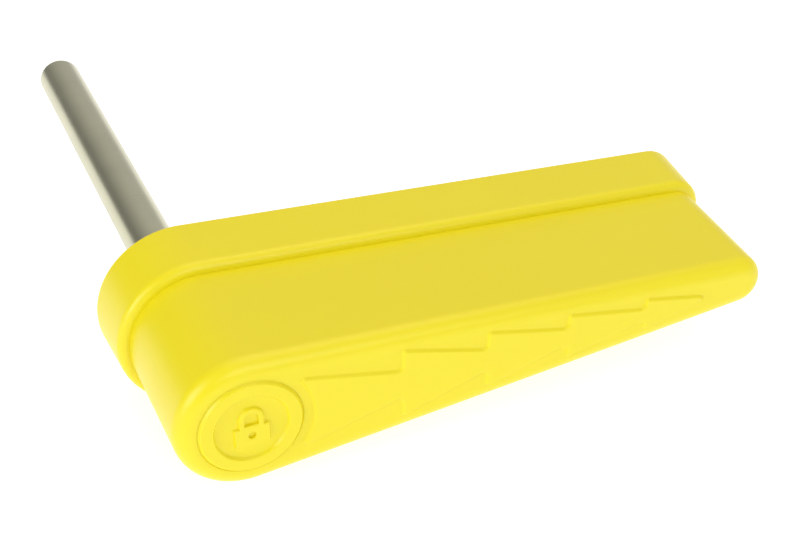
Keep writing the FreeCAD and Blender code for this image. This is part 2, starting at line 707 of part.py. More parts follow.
def cylinder_plug():
    barrel = cylinder("plug_bar", "plug_radius", "plug_low", "flange_low + fixed_gap * 2")
    flange = cylinder("plug_flange", "flange_radius", "flange_low + fixed_gap * 2", "flange_high")
    solid = fuse("plug_solid", barrel, flange)
    keyway = box("plug_keyway", ("-keyway_half_height", "keyway_half_height"),
                 ("-keyway_width / 2", "keyway_width / 2"),
                 ("tumbler_low - tumbler_bore - keyway_end", "flange_high"))
    slot = box("plug_tail_slot", ("-plug_radius", "plug_radius"),
               ("-tang_width / 2 - hole_gap", "tang_width / 2 + hole_gap"),
               ("plug_low", "collar_top + tang_height + hole_gap"))
    seat = cut("clip_seat", cylinder("clip_band", "plug_radius + lap", "clip_low - fixed_gap",
                                     "clip_low + clip_thick + fixed_gap"),
               cylinder("clip_core", "plug_radius - clip_depth", "clip_low - lap",
                        "clip_low + clip_thick + lap"))
    sweep = doc.addObject("Part::Cylinder", "stop_sector")
    reach = "asin((stop_pin_radius + hole_gap) / (plug_radius - groove_depth))"
    bind(sweep, "Radius", "plug_radius + lap")
    bind(sweep, "Height", "2 * (stop_pin_radius + hole_gap)")
    bind(sweep, "Angle", "90 deg + 2 * " + reach)
    bind(sweep, "Placement.Base.z", "stop_level - stop_pin_radius - hole_gap")
    bind(sweep, "Placement.Rotation.Angle", "-90 deg - " + reach)
    groove = cut("stop_groove", sweep, cylinder("stop_core", "plug_radius - groove_depth",
                                                "stop_level - 2 * stop_pin_radius",
                                                "stop_level + 2 * stop_pin_radius"))
    holes = [cross_bar("key_hole_%d" % i, "tumbler_bore", "0", "plug_radius + lap", level)
             for i, level in enumerate(tumbler_levels())]
    keep(cut("plug_cut", solid, keyway, slot, seat, groove, *holes), "cylinder_plug")

    band = cylinder("clip_ring", "clip_radius", "clip_low", "clip_low + clip_thick")
    eye = cylinder("clip_eye", "plug_radius - clip_depth + fixed_gap", "clip_low", "clip_low + clip_thick")
    gap = box("clip_gap", ("-clip_radius", "0"), ("-clip_radius / 4", "clip_radius / 4"),
              ("clip_low", "clip_low + clip_thick"))
    keep(cut("clip_cut", band, eye, gap), "plug_clip")


def tumblers():
    """Key pins in the plug, drivers and springs in the housing, parted at the plug's surface."""
    pins = [cross_bar("key_pin_%d" % i, "tumbler_radius", tip, "plug_radius", level)
            for i, (tip, level) in enumerate(zip(KEY_CUTS, tumbler_levels()))]
    shear = cylinder("shear_line", "plug_radius - fixed_gap", "plug_low", "flange_low")
    keep(common("key_pins_rounded", group("key_pins_bars", pins), shear), "key_pins")
    drivers = [cut("driver_%d" % i, cross_bar("driver_bar_%d" % i, "tumbler_radius", "driver_low",
                                             "driver_high", level),
                   cross_bar("driver_waist_%d" % i, "tumbler_radius / 2", "driver_high - tumbler_radius / 2",
                             "driver_high", level))
               for i, level in enumerate(tumbler_levels())]
    keep(group("drivers", drivers), "driver_pins")

    free = value("spring_cover_low - driver_high - 2 * spring_wire - spring_gap")
    radius = value("tumbler_radius - spring_wire - spring_gap")
    foot = value("driver_high + spring_wire + spring_gap / 2")
    coils = []
    for level in tumbler_levels():
        path = Part.makeHelix(free / SPRING_TURNS, free, radius)
        section = Part.Wire(Part.makeCircle(
            value("spring_wire"), FreeCAD.Vector(radius, 0, 0), FreeCAD.Vector(0, 1, 0)))
        coil = Part.Wire(path).makePipeShell([section], True, True)
        coil.Placement = FreeCAD.Placement(
            FreeCAD.Vector(foot, 0, value(level)), FreeCAD.Rotation(FreeCAD.Vector(0, 1, 0), 90))
        coils.append(coil)
    springs = doc.addObject("Part::Feature", "springs")
    springs.Shape = Part.makeCompound(coils)
    keep(springs, "driver_springs")

    strip = box("spring_strip", ("spring_cover_low", "foot_reach"),
                ("-strip_half_width", "strip_half_width"), ("strip_low", "strip_high"))
    scallops = [cross_bar("spring_dimple_%d" % i, "tumbler_radius / 2", "spring_cover_low",
                          "spring_cover_low + spring_dimple", level)
                for i, level in enumerate(tumbler_levels())]
    keep(cut("spring_cover_cut", strip, *scallops), "spring_cover")

    peg = cross_bar("stop_peg", "stop_pin_radius", "plug_radius - groove_depth + hole_gap",
                    "barrel_radius - hole_gap", "stop_level", -90)
    nick = cross_bar("stop_nick", "stop_pin_radius / 2", "barrel_radius - 3 * hole_gap", "barrel_radius",
                     "stop_level", -90)
    keep(cut("stop_pin_cut", peg, nick), "stop_pin")


# ---------------------------------------------------------------- dust cap
def dust_cap():
    body = new_body("dust_cap")
    disc = sketch_at(body, "cap_circle", "cap_low")
    add_circle(disc, "cap", "cap_radius")
    pad(body, "cap_disc", disc, "cap_top - cap_low")
    stub = sketch_at(body, "spigot_circle", "cap_low - spigot_length")
    add_circle(stub, "spigot", "spigot_radius - fixed_gap")
    pad(body, "spigot", stub, "spigot_length + lap")
    hollow = sketch_at(body, "spigot_hollow_circle", "cap_low - spigot_length")
    add_circle(hollow, "hollow", "spigot_radius - spigot_wall")
    pocket(body, "spigot_hollow", hollow, "spigot_length", reverse=True)
    groove = sketch_at(body, "seal_groove_circles", "cap_low - spigot_length / 2 - ring_wire")
    add_circle(groove, "outer", "spigot_radius + lap")
    add_circle(groove, "inner", "spigot_radius - 2 * ring_wire")
    pocket(body, "seal_groove", groove, "2 * ring_wire", reverse=True)
    dish = sketch_at(body, "dish_circle", "dish_floor")
    add_circle(dish, "dish", "cap_disc_radius")
    pocket(body, "dish", dish, "cap_disc_depth + lap", reverse=True)

    bow = sketch_at(body, "emblem_bow_circle", "dish_floor - lap")
    add_circle(bow, "bow", "bow_radius", "0", "bow_rise")
    pad(body, "emblem_bow", bow, "emblem_height + lap")
    legs = sketch_at(body, "emblem_legs_outline", "dish_floor - lap")
    add_polygon(legs, "legs", (("-bow_radius", "emblem_shoulder"), ("bow_radius", "emblem_shoulder"),
                               ("bow_radius", "bow_rise"), ("-bow_radius", "bow_rise")))
    pad(body, "emblem_legs", legs, "emblem_height + lap")
    arch = sketch_at(body, "emblem_arch_circle", "dish_floor + emblem_height")
    add_circle(arch, "arch", "bow_radius - bow_width", "0", "bow_rise")
    pocket(body, "emblem_arch", arch, "emblem_height")
    inside = "(bow_radius - bow_width)"
    gap = sketch_at(body, "emblem_gap_outline", "dish_floor + emblem_height")
    add_polygon(gap, "gap", (("-" + inside, "emblem_shoulder"), (inside, "emblem_shoulder"),
                             (inside, "bow_rise"), ("-" + inside, "bow_rise")))
    pocket(body, "emblem_gap", gap, "emblem_height")
    case = sketch_at(body, "emblem_case_outline", "dish_floor - lap")
    add_polygon(case, "case", (("-emblem_half_width", "-emblem_foot"), ("emblem_half_width", "-emblem_foot"),
                               ("emblem_half_width", "emblem_shoulder"),
                               ("-emblem_half_width", "emblem_shoulder")))
    pad(body, "emblem_case", case, "emblem_height + lap")
    eye = sketch_at(body, "emblem_eye_circle", "dish_floor + emblem_height")
    add_circle(eye, "eye", "emblem_eye_radius", "0", "-emblem_eye_drop")
    pocket(body, "emblem_eye", eye, "emblem_height")
    keep(body, "dust_cap")


def cap_seal():
    ring = doc.addObject("Part::Torus", "cap_ring")
    bind(ring, "Radius1", "spigot_radius - ring_wire")
    bind(ring, "Radius2", "ring_wire")
    bind(ring, "Placement.Base.z", "cap_low - spigot_length / 2")
    keep(group("cap_ring_set", [ring]), "cap_seal")


# ---------------------------------------------------------------- screws
def fasteners():
    screws, inserts = [], []
    for i, (x, y) in enumerate(SCREWS):
        shank = cylinder("screw_shank_%d" % i, "screw_radius", "screw_head_height", "screw_length", x, y)
        head = cone("screw_head_%d" % i, "screw_head_radius", "screw_radius", "hole_gap",
                    "screw_head_height", x, y)
        key = hex_bar("screw_key_%d" % i, "screw_radius * 3 / 4", "hole_gap",
                      "hole_gap + screw_key_depth", x, y)
        screws.append(cut("screw_%d" % i, fuse("screw_solid_%d" % i, shank, head), key))
        sleeve = cylinder("insert_sleeve_%d" % i, "insert_radius", "rim_low", "rim_low + insert_length", x, y)
        thread = cylinder("insert_thread_%d" % i, "screw_radius + fixed_gap", "rim_low",
                          "rim_low + insert_length", x, y)
        inserts.append(cut("insert_%d" % i, sleeve, thread))
    keep(group("cover_screw_set", screws), "cover_screws")
    keep(group("insert_set", inserts), "thread_inserts")

    foot = []
    for i, (x, y) in enumerate(FOOT_SCREWS):
        shank = cylinder("foot_shank_%d" % i, "foot_screw_radius", "floor_wall + 2 * hole_gap", "foot_top",
                         x, y)
        head = cylinder("foot_head_%d" % i, "foot_screw_head", "foot_top",
                        "foot_top + foot_screw_head_height", x, y)
        key = hex_bar("foot_key_%d" % i, "foot_screw_radius", "foot_top + 3 * hole_gap",
                      "foot_top + foot_screw_head_height", x, y)
        foot.append(cut("foot_screw_%d" % i, fuse("foot_screw_solid_%d" % i, shank, head), key))
    keep(group("foot_screw_set", foot), "housing_screws")


for build in (front_cover, rear_cover, backbone_plate, cover_seal, lock_pin, seat_washer, drive_rod,
              locking_dog, cylinder_housing, cylinder_plug, tumblers, dust_cap, cap_seal, fasteners):
    build()
doc.recompute()

for thing in doc.Objects:
    if "Invalid" in thing.State or "Error" in thing.State:
        raise RuntimeError("%s failed: %s" % (thing.Name, thing.State))
os.makedirs("parts", exist_ok=True)
for piece in pieces:
    if piece.Shape.isNull() or not piece.Shape.isValid():
        raise RuntimeError("bad shape: " + piece.Label)
for piece in pieces:
    piece.Shape.exportStep(os.path.join("parts", piece.Label + ".step"))
    extent = piece.Shape.BoundBox
    print("%-18s solids %2d volume %9.1f  x %.1f..%.1f y %.1f..%.1f z %.1f..%.1f" % (
        piece.Label, len(piece.Shape.Solids), piece.Shape.Volume, extent.XMin,
        extent.XMax, extent.YMin, extent.YMax, extent.ZMin, extent.ZMax))
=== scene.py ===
"""Trailer coupler lock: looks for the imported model, laid out as a Blender add-on and run as a script.

Pieces are drawn in a frame of their own, with x along the lever, y up and z from the rear face to
the front face, and finish_piece stands them in the model's frame, where the pin points along +Y.
"""
import math

import bmesh
import bpy
from bpy.props import FloatProperty, FloatVectorProperty, IntProperty, PointerProperty
from mathutils import Matrix, Vector


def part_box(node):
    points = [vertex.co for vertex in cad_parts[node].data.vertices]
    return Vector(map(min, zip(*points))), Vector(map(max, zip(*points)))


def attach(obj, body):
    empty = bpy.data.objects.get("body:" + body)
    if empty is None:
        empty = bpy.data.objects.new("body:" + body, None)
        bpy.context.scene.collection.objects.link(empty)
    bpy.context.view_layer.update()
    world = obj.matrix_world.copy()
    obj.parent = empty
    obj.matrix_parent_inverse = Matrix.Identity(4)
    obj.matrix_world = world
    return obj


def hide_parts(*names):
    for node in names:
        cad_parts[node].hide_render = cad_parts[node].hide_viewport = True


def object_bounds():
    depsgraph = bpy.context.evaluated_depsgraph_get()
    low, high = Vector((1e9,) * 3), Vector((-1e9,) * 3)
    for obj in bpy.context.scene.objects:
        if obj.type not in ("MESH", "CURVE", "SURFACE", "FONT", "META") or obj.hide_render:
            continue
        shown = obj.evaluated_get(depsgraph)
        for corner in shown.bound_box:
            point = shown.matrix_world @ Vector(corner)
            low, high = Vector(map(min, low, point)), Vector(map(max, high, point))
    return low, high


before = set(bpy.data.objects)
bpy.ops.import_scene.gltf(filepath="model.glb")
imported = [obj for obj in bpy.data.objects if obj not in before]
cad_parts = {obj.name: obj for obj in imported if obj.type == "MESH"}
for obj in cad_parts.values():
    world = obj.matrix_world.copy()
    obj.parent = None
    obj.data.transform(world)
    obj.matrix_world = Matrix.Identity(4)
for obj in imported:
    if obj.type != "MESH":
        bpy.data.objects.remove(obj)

bl_info = {
    "name": "Coupler lock looks",
    "version": (1, 0, 0),
    "blender": (4, 5, 0),
    "location": "View3D > Sidebar > Coupler lock",
    "description": "Builds the shells, pin, seals, screws, finishes and studio of a trailer coupler lock",
    "category": "Mesh",
}

MM = 0.001
SAME_LEVEL = 1e-7               # two heights closer than this are one level
FILL_TURN = 0.37                # radians that a mesh is turned by while a region is filled
TIP_END_FROM = 30 * MM          # points of an outline past this belong to its tip end
SAME_POINT = 0.0005 * MM        # points closer than this are joined
SHARP_EDGE = math.radians(32)
ROUND = 96                      # segments round a full circle of the shells, the cap and the washer
FLOOR_HALF = 4.0                # half of the floor's width, in metres
LIGHT_AIM = (0.04, -0.02, 0)    # a place inside the lever, between hub and tip
STAND = Matrix.Rotation(math.radians(90), 4, "X")
LOCK_BODY, CAP = "lock_body", "cap"

CAD_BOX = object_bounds()
FRONT_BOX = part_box("front_cover")
REAR_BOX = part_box("rear_cover")
CAP_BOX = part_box("dust_cap")
PIN_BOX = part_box("lock_pin")
WASHER_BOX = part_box("seat_washer")
DOG_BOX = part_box("locking_dog")
SCREW_SPOTS = tuple((x * MM, y * MM) for x, y in ((22.0, 6.2), (22.0, -6.2), (57.5, 0.0), (93.0, 0.0)))


# ---------------------------------------------------------------- colours and materials
def linear(code):
    """An sRGB hex colour as the linear colour that the shader takes."""
    parts = [int(code[i:i + 2], 16) / 255 for i in (0, 2, 4)]
    return tuple(c / 12.92 if c <= 0.04045 else ((c + 0.055) / 1.055) ** 2.4 for c in parts) + (1.0,)


def add_node(tree, kind, settings=(), inputs=(), links=()):
    """Add a node, set its properties and sockets, and link other nodes' outputs to it."""
    made = tree.nodes.new(kind)
    for name, setting in dict(settings).items():
        setattr(made, name, setting)
    for name, setting in dict(inputs).items():
        made.inputs[name].default_value = setting
    for name, output in dict(links).items():
        tree.links.new(output, made.inputs[name])
    return made


def new_material(name):
    """A material with a Principled shader on it, and the object coordinates that patterns follow."""
    material = bpy.data.materials.new(name)
    material.use_nodes = True
    tree = material.node_tree
    shader = next(n for n in tree.nodes if n.type == "BSDF_PRINCIPLED")
    where = add_node(tree, "ShaderNodeTexCoord")
    return material, tree, shader, where.outputs["Object"]


def set_sockets(shader, **numbers):
    """Set a shader's sockets to constants; an underscore in a name stands for a space."""
    for name, number in numbers.items():
        shader.inputs[name.replace("_", " ")].default_value = number


def moulded_polymer(colour, name="moulded_yellow_polymer"):
    """Injection-moulded polypropylene off a fine spark-eroded tool: an even satin with a soft broad
    highlight, slow colour flow across the part and a grain of about a quarter of a millimetre."""
    material, tree, shader, place = new_material(name)
    flow = add_node(tree, "ShaderNodeTexNoise", inputs={"Scale": 1 / (45 * MM), "Detail": 2.0},
                    links={"Vector": place})
    tint = add_node(tree, "ShaderNodeMix", {"data_type": "RGBA"}, links={"Factor": flow.outputs["Fac"]})
    tint.inputs["A"].default_value = colour
    tint.inputs["B"].default_value = tuple(c * f for c, f in zip(colour, (0.965, 0.955, 0.9, 1.0)))
    tree.links.new(tint.outputs["Result"], shader.inputs["Base Color"])
    # the tool's grain is finer than this; it is drawn at a quarter of a millimetre to show at all
    grain = add_node(tree, "ShaderNodeTexNoise", inputs={"Scale": 1 / (0.25 * MM), "Detail": 3.0},
                     links={"Vector": place})
    sheen = add_node(tree, "ShaderNodeMapRange", inputs={"To Min": 0.33, "To Max": 0.42},
                     links={"Value": grain.outputs["Fac"]})
    tree.links.new(sheen.outputs["Result"], shader.inputs["Roughness"])
    bump = add_node(tree, "ShaderNodeBump", inputs={"Strength": 0.12, "Distance": 0.02 * MM},
                    links={"Height": grain.outputs["Fac"]})
    tree.links.new(bump.outputs["Normal"], shader.inputs["Normal"])
    set_sockets(shader, IOR=1.49, Subsurface_Weight=0.12, Subsurface_Scale=2.0 * MM)
    shader.inputs["Subsurface Radius"].default_value = (1.0, 0.8, 0.15)
    return material


def ground_bar(colour, name="ground_stainless_bar"):
    """Centreless-ground stainless bar: fine rings round the bar from the wheel, and a soft sheen."""
    material, tree, shader, place = new_material(name)
    # ground rings, a tenth of a millimetre apart along the bar and long around it
    rings = add_node(tree, "ShaderNodeMapping", inputs={"Scale": (60, 1 / (0.12 * MM), 60)},
                     links={"Vector": place})
    lines = add_node(tree, "ShaderNodeTexNoise", inputs={"Scale": 1.0, "Detail": 4.0},
                     links={"Vector": rings.outputs["Vector"]})
    stain = add_node(tree, "ShaderNodeTexNoise", inputs={"Scale": 1 / (9 * MM), "Detail": 3.0},
                     links={"Vector": place})
    tint = add_node(tree, "ShaderNodeMix", {"data_type": "RGBA"}, links={"Factor": stain.outputs["Fac"]})
    tint.inputs["A"].default_value = colour
    tint.inputs["B"].default_value = tuple(c * 0.86 for c in colour[:3]) + (1.0,)
    tree.links.new(tint.outputs["Result"], shader.inputs["Base Color"])
    gloss = add_node(tree, "ShaderNodeMapRange", inputs={"To Min": 0.24, "To Max": 0.36},
                     links={"Value": lines.outputs["Fac"]})
    tree.links.new(gloss.outputs["Result"], shader.inputs["Roughness"])
    bump = add_node(tree, "ShaderNodeBump", inputs={"Strength": 0.10, "Distance": 0.01 * MM},
                    links={"Height": lines.outputs["Fac"]})
    tree.links.new(bump.outputs["Normal"], shader.inputs["Normal"])
    set_sockets(shader, Metallic=1.0)
    return material


def rubber(name="nitrile_rubber"):
    """Moulded nitrile rubber: near-black, matt, with a faint bloom and a fine mould grain."""
    material, tree, shader, place = new_material(name)
    bloom = add_node(tree, "ShaderNodeTexNoise", inputs={"Scale": 1 / (3 * MM), "Detail": 4.0},
                     links={"Vector": place})
    tint = add_node(tree, "ShaderNodeMix", {"data_type": "RGBA"}, links={"Factor": bloom.outputs["Fac"]})
    tint.inputs["A"].default_value = linear("1b1b1c")
    tint.inputs["B"].default_value = linear("2b2a2a")
    tree.links.new(tint.outputs["Result"], shader.inputs["Base Color"])
    bump = add_node(tree, "ShaderNodeBump", inputs={"Strength": 0.25, "Distance": 0.03 * MM},
                    links={"Height": bloom.outputs["Fac"]})
    tree.links.new(bump.outputs["Normal"], shader.inputs["Normal"])
    set_sockets(shader, Roughness=0.72, IOR=1.52)
    return material


def turned_metal(name, first, second, rough, pitch, metallic=1.0):
    """A turned, drawn or plated metal: two close tones in slow patches and a fine tool mark."""
    material, tree, shader, place = new_material(name)
    patches = add_node(tree, "ShaderNodeTexNoise", inputs={"Scale": 1 / (5 * MM), "Detail": 3.0},
                       links={"Vector": place})
    tint = add_node(tree, "ShaderNodeMix", {"data_type": "RGBA"}, links={"Factor": patches.outputs["Fac"]})
    tint.inputs["A"].default_value = linear(first)
    tint.inputs["B"].default_value = linear(second)
    tree.links.new(tint.outputs["Result"], shader.inputs["Base Color"])
    marks = add_node(tree, "ShaderNodeTexNoise", inputs={"Scale": 1 / pitch, "Detail": 2.0},
                     links={"Vector": place})
    gloss = add_node(tree, "ShaderNodeMapRange", inputs={"To Min": rough * 0.8, "To Max": rough * 1.2},
                     links={"Value": marks.outputs["Fac"]})
    tree.links.new(gloss.outputs["Result"], shader.inputs["Roughness"])
    bump = add_node(tree, "ShaderNodeBump", inputs={"Strength": 0.15, "Distance": 0.02 * MM},
                    links={"Height": marks.outputs["Fac"]})
    tree.links.new(bump.outputs["Normal"], shader.inputs["Normal"])
    set_sockets(shader, Metallic=metallic)
    return material


# ---------------------------------------------------------------- mesh helpers
def face_up(face, up=1):
    """Turn a flat face so that its normal points along +z, or along -z when up is negative."""
    face.normal_update()
    if face.normal.z * up < 0:
        face.normal_flip()
    return face


def raise_face(bm, face, inwards, upwards):
    """Step a face's rim inwards and along its normal, with a new wall behind it."""
    bmesh.ops.inset_region(bm, faces=[face], thickness=inwards, depth=upwards, use_even_offset=True,
                           use_boundary=True)


def round_over(bm, face, radius, steps, down=False):
    """A quarter-round rim: up and in on an outer edge, or in and down into a hole."""
    before = (0.0, 0.0)
    for i in range(1, steps + 1):
        turn = math.radians(90) * i / steps
        spot = (radius * (1 - math.cos(turn)), radius * math.sin(turn))
        if down:
            spot = (radius * math.sin(turn), -radius * (1 - math.cos(turn)))
        raise_face(bm, face, spot[0] - before[0], spot[1] - before[1])
        before = spot


def soft_rise(bm, face, height, run):
    """Raise or sink a face with a softly moulded shoulder."""
    before, steps = (0.0, 0.0), 8
    for i in range(1, steps + 1):
        share = i / steps
        spot = (run * share, height * (1 - math.cos(math.pi * share)) / 2)
        raise_face(bm, face, spot[0] - before[0], spot[1] - before[1])
        before = spot


def ring_edges(bm, centre, radius, segments):
    """A circle of edges, square to z."""
    made = bmesh.ops.create_circle(bm, cap_ends=False, radius=radius, segments=segments,
                                   matrix=Matrix.Translation(centre))
    return list({edge for vert in made["verts"] for edge in vert.link_edges})


def cap_loop(bm, edges, up=1):
    """Close a loop of edges with one flat face."""
    made = bmesh.ops.contextual_create(bm, geom=edges)
    return face_up(made["faces"][0], up)


def at_level(edge, level):
    return all(abs(vert.co.z - level) < SAME_LEVEL for vert in edge.verts)


def free_rim(bm, level):
    """The edges of a hole in the mesh that lie at one height."""
    return [edge for edge in bm.edges if edge.is_boundary and at_level(edge, level)]


def wire_loop(bm, level):
    """The edges that no face uses yet and that lie at one height."""
    return [edge for edge in bm.edges if edge.is_wire and at_level(edge, level)]


def open_face(bm, face):
    """Take a face away and give back the edges round the hole it leaves."""
    edges = list(face.edges)
    bmesh.ops.delete(bm, geom=[face], context="FACES_ONLY")
    return edges


def fill_between(bm, edges, up=1):
    """Fill a flat region between an outer loop and the loops inside it.

    The fill treats points about 0.03 units apart as one and slips where points share a coordinate,
    so it runs on the mesh scaled to millimetres and turned a little.
    """
    there = Matrix.Rotation(FILL_TURN, 4, "Z") @ Matrix.Scale(1 / MM, 4)
    bmesh.ops.transform(bm, verts=bm.verts, matrix=there)
    bmesh.ops.triangle_fill(bm, use_beauty=True, use_dissolve=False, edges=edges, normal=(0, 0, up))
    bmesh.ops.transform(bm, verts=bm.verts, matrix=there.inverted())


def arc_edges(bm, start, centre, angle, steps):
    """Spin one vertex into an arc; gives the arc's first and last vertex."""
    first = bm.verts.new(start)
    made = bmesh.ops.spin(bm, geom=[first], cent=centre, axis=(0, 0, 1), angle=angle, steps=steps,
                          use_duplicate=False)
    last = [v for v in made["geom_last"] if isinstance(v, bmesh.types.BMVert)][0]
    return first, last


def lathe(bm, points, steps=ROUND):
    """Spin a closed profile of (radius, height) points into a ring about z."""
    verts = [bm.verts.new((radius, 0, height)) for radius, height in points]
    edges = [bm.edges.new(pair) for pair in zip(verts, verts[1:] + verts[:1])]
    bmesh.ops.spin(bm, geom=verts + edges, cent=(0, 0, 0), axis=(0, 0, 1), angle=math.tau, steps=steps,
                   use_merge=True, use_duplicate=False)


def arch_edges(bm, spots, radius, rise, level):
    """A loop of straight sides closed by a half-circle on top."""
    before = set(bm.edges)
    arc_first, arc_last = arc_edges(bm, (radius, rise, level), (0, rise, level), math.pi, 20)
    outline = [arc_last] + [bm.verts.new((x, y, level)) for x, y in spots] + [arc_first]
    for first, second in zip(outline, outline[1:]):
        bm.edges.new((first, second))
    return [edge for edge in bm.edges if edge not in before]


def lever_face(bm, sizes, hub, span, level):
    """The lever's outline as one face: a round hub and a round tip with tangent sides."""
    slope = (sizes.hub_radius - sizes.tip_radius) / sizes.ledge_span
    turn = math.acos(slope)
    tip = hub - slope * span
    hub_first, hub_last = arc_edges(bm, (hub * slope, hub * math.sin(turn), level), (0, 0, level),
                                    2 * (math.pi - turn), sizes.hub_steps)
    tip_first, tip_last = arc_edges(bm, (span + tip * slope, -tip * math.sin(turn), level),
                                    (span, 0, level), 2 * turn, sizes.tip_steps)
    bm.edges.new((hub_last, tip_first))
    bm.edges.new((tip_last, hub_first))
    return cap_loop(bm, wire_loop(bm, level))


def shift_tip(bm, face, distance):
    """Draw a face's tip end in along the lever."""
    ends = [vert for vert in face.verts if vert.co.x > TIP_END_FROM]
    bmesh.ops.translate(bm, verts=ends, vec=(-distance, 0, 0))


def mark_edges(bm):
    """Smooth shading everywhere but across sharp edges."""
    for face in bm.faces:
        face.smooth = True
    for edge in bm.edges:
        edge.smooth = edge.calc_face_angle(0.0) < SHARP_EDGE


def finish_piece(name, bm, material, body, node):
    """Stand a piece in the model's frame, check that it is closed and let it ride on its body."""
    bmesh.ops.transform(bm, matrix=STAND, verts=bm.verts)
    bmesh.ops.remove_doubles(bm, verts=bm.verts, dist=SAME_POINT)
    bmesh.ops.recalc_face_normals(bm, faces=bm.faces)
    mark_edges(bm)
    if not all(edge.is_contiguous for edge in bm.edges):
        raise RuntimeError(f"{name} isn't a closed solid")
    mesh = bpy.data.meshes.new(name)
    bm.to_mesh(mesh)
    bm.free()
    piece = bpy.data.objects.new(name, mesh)
    bpy.context.scene.collection.objects.link(piece)
    mesh.materials.append(material)
    weights = piece.modifiers.new("even_normals", "WEIGHTED_NORMAL")
    weights.keep_sharp = True
    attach(piece, body)
    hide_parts(node)


def use_material(node, material):
    """Give a CAD node that keeps its shape a finished material."""
    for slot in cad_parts[node].material_slots:
        slot.material = material


# ---------------------------------------------------------------- settings
def size(name, text, number):
    """A length that a user can change."""
    return FloatProperty(name=name, description=text, default=number, unit="LENGTH", precision=5, min=0.0)


class ShellSettings(bpy.types.PropertyGroup):
    hub_radius: size("Hub radius", "Front cover's hub at the ledge", -FRONT_BOX[0].x)
    tip_radius: size("Tip radius", "Front cover's tip at the ledge", 5.2 * MM)
    ledge_span: size("Span", "Hub centre to tip centre at the ledge", FRONT_BOX[1].x - 5.2 * MM)
    cover_rake: size("Cover rake", "Tip drawn in from ledge to front face", 2.0 * MM)
    flange_rake: size("Flange rake", "Tip drawn in from rear face to ledge", 1.0 * MM)
    cover_draft: size("Cover draft", "Side draft of the front cover", 0.2 * MM)
    flange_draft: size("Flange draft", "Side draft of the rear cover", 0.6 * MM)
    ledge_width: size("Ledge", "Rear cover outside the front cover", 2.0 * MM)
    flange_depth: size("Flange depth", "Rear face to ledge", -REAR_BOX[0].y)
    front_level: size("Front face", "Rear face to front face", 40.95 * MM)
    rim_level: size("Rim", "Rear face to the front cover's rim", -FRONT_BOX[1].y)
    wall: size("Wall", "Front cover's wall", 2.2 * MM)
    front_wall: size("Front wall", "Front cover's face wall", 3.6 * MM)
    floor_wall: size("Floor", "Rear cover's floor", 2.5 * MM)
    front_fillet: size("Front fillet", "Round of the front edge", 3.0 * MM)
    ledge_fillet: size("Ledge fillet", "Round of the ledge's outer edge", 1.7 * MM)
    rear_fillet: size("Rear fillet", "Round of the rear edge", 0.6 * MM)
    panel_margin: size("Panel margin", "Raised panel inside the outline", 3.4 * MM)
    panel_height: size("Panel height", "Raised panel over the front face", 0.48 * MM)
    panel_run: size("Panel shoulder", "Width of the panel's soft shoulder", 0.62 * MM)
    panel_end: size("Panel end", "Panel's point to the tip centre", 6.0 * MM)
    panel_start: size("Panel start", "Straight end of the panel beside the channel", 1.2 * MM)
    panel_turn: FloatProperty(name="Panel turn", description="Half of the panel's arc round the channel",
                              subtype="ANGLE", default=math.radians(38))
    corner_cut: size("Corner cut", "Rounding of the panel's corners, measured along their sides", 1.0 * MM)
    point_cut: size("Point cut", "Rounding of the panel's point, measured along its sides", 5.0 * MM)
    panel_valley: FloatProperty(name="Panel valley", description="Valley over crest of the panel's steps",
                                default=0.42, min=0.1, max=0.9, subtype="FACTOR")
    teeth: IntProperty(name="Steps", description="Steps along each edge of the raised panel",
                       default=4, min=1)
    hub_steps: IntProperty(name="Hub steps", description="Segments round the hub", default=96, min=8)
    tip_steps: IntProperty(name="Tip steps", description="Segments round the tip", default=64, min=8)
    colour: FloatVectorProperty(name="Shell colour", description="Moulded polymer, linear", subtype="COLOR",
                                size=4, default=linear("ebda15"), min=0, max=1)


class CapSettings(bpy.types.PropertyGroup):
    radius: size("Radius", "Dust cap's ring", CAP_BOX[1].x)
    top: size("Top", "Rear face to the top of the ring", -CAP_BOX[0].y)
    seat: size("Seat", "Rear face to the underside of the disc", 39.37 * MM)
    bottom: size("Bottom", "Rear face to the end of the spigot", -CAP_BOX[1].y)
    gap: size("Gap", "Cap to its seat all round", 0.12 * MM)
    show_gap: size("Shown gap", "Cap to its seat at the front face", 0.008 * MM)
    seat_lip: size("Seat lip", "Round of the seat's rim in the front cover", 0.15 * MM)
    channel: size("Channel", "Width of the channel between cap and panel", 1.6 * MM)
    dish_radius: size("Dish radius", "Recessed disc", 6.8 * MM)
    dish_depth: size("Dish depth", "Disc below the ring", 0.6 * MM)
    spigot: size("Spigot", "Spigot radius", 6.95 * MM)
    spigot_wall: size("Spigot wall", "Flat rim at the spigot's end", 1.2 * MM)
    spigot_round: size("Spigot round", "Round of the spigot's end", 0.2 * MM)
    spigot_taper: size("Spigot taper", "Draft of the spigot's inside", 0.1 * MM)
    hole: size("Hole", "Hole behind the cap", 7.05 * MM)
    ring_rise: size("Ring rise", "Height of the ring's soft outer shoulder", 0.6 * MM)
    ring_run: size("Ring shoulder", "Width of the ring's soft shoulders", 0.55 * MM)
    emblem_run: size("Emblem shoulder", "Width of the sign's soft shoulder", 0.32 * MM)
    emblem_height: size("Emblem height", "Padlock sign over the disc", 0.5 * MM)
    pit_round: size("Pit round", "Round of the rims of the sign's two pits", 0.1 * MM)
    pit_taper: size("Pit taper", "Draft of the sign's two pits", 0.05 * MM)


